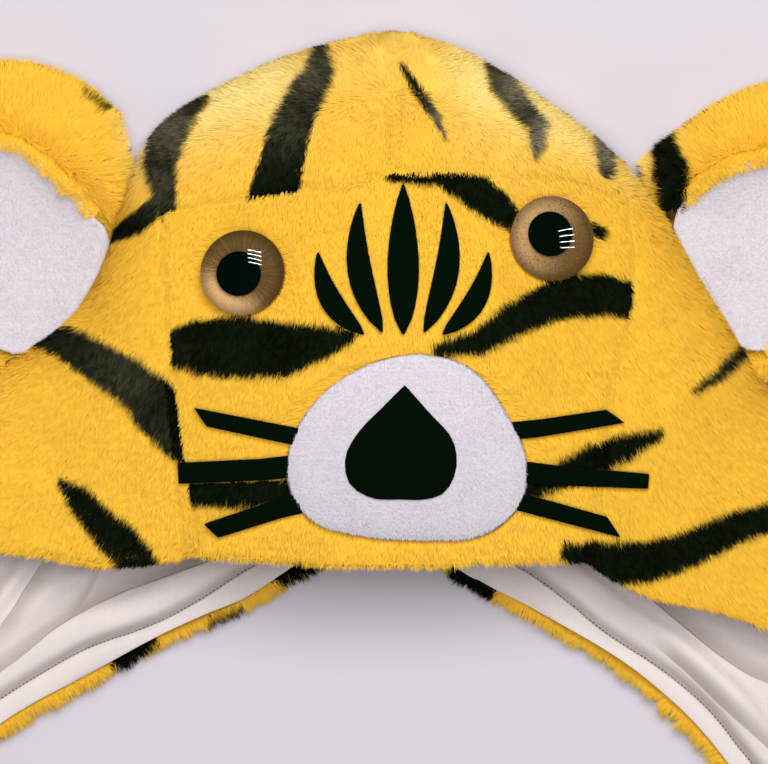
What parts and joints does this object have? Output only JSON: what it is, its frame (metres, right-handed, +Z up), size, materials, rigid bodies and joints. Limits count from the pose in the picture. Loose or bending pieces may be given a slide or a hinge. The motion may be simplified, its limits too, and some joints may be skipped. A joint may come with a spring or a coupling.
{
  "type": "tiger costume of a plush hood and a jumpsuit, laid flat",
  "caption": "Child's plush tiger costume laid flat: a striped hood with ears, toy eyes, felt nose and whiskers, and a striped jumpsuit below it.",
  "frame": {"origin": "on the surface that the costume lies on, under the middle of its box", "axes": "+Y from the jumpsuit's feet to the hood's crown, +X to the right as seen from above, +Z up off the surface, through the pile of the front"},
  "size_m": [0.7586, 1.264, 0.0784],
  "materials": {
    "plush_yellow": "long-pile yellow plush with dark stripes",
    "white_pile": "short white pile",
    "black_felt": "black wool felt",
    "lining_knit": "fine off-white knit",
    "toy_eye": "bronze glitter iris and black pupil under a clear dome"
  },
  "bodies": {
    "root": {"hood_left": "plush_yellow", "hood_right": "plush_yellow", "face_panel": "plush_yellow", "lining_left": "lining_knit", "lining_right": "lining_knit", "ear_back_left": "plush_yellow", "ear_back_right": "plush_yellow", "ear_inner_left": "white_pile", "ear_inner_right": "white_pile", "eye_left": "toy_eye", "eye_right": "toy_eye", "nose_patch": "white_pile", "nose": "black_felt", "whisker_left_upper": "black_felt", "whisker_left_middle": "black_felt", "whisker_left_lower": "black_felt", "whisker_right_upper": "black_felt", "whisker_right_middle": "black_felt", "whisker_right_lower": "black_felt", "forehead_leaf_centre": "black_felt", "forehead_leaf_inner_left": "black_felt", "forehead_leaf_inner_right": "black_felt", "forehead_leaf_outer_left": "black_felt", "forehead_leaf_outer_right": "black_felt", "suit_front_left": "plush_yellow", "suit_front_right": "plush_yellow", "suit_back_left": "plush_yellow", "suit_back_right": "plush_yellow", "suit_sleeve_left": "plush_yellow", "suit_sleeve_right": "plush_yellow", "suit_placket": "plush_yellow"}
  },
  "joints": []
}
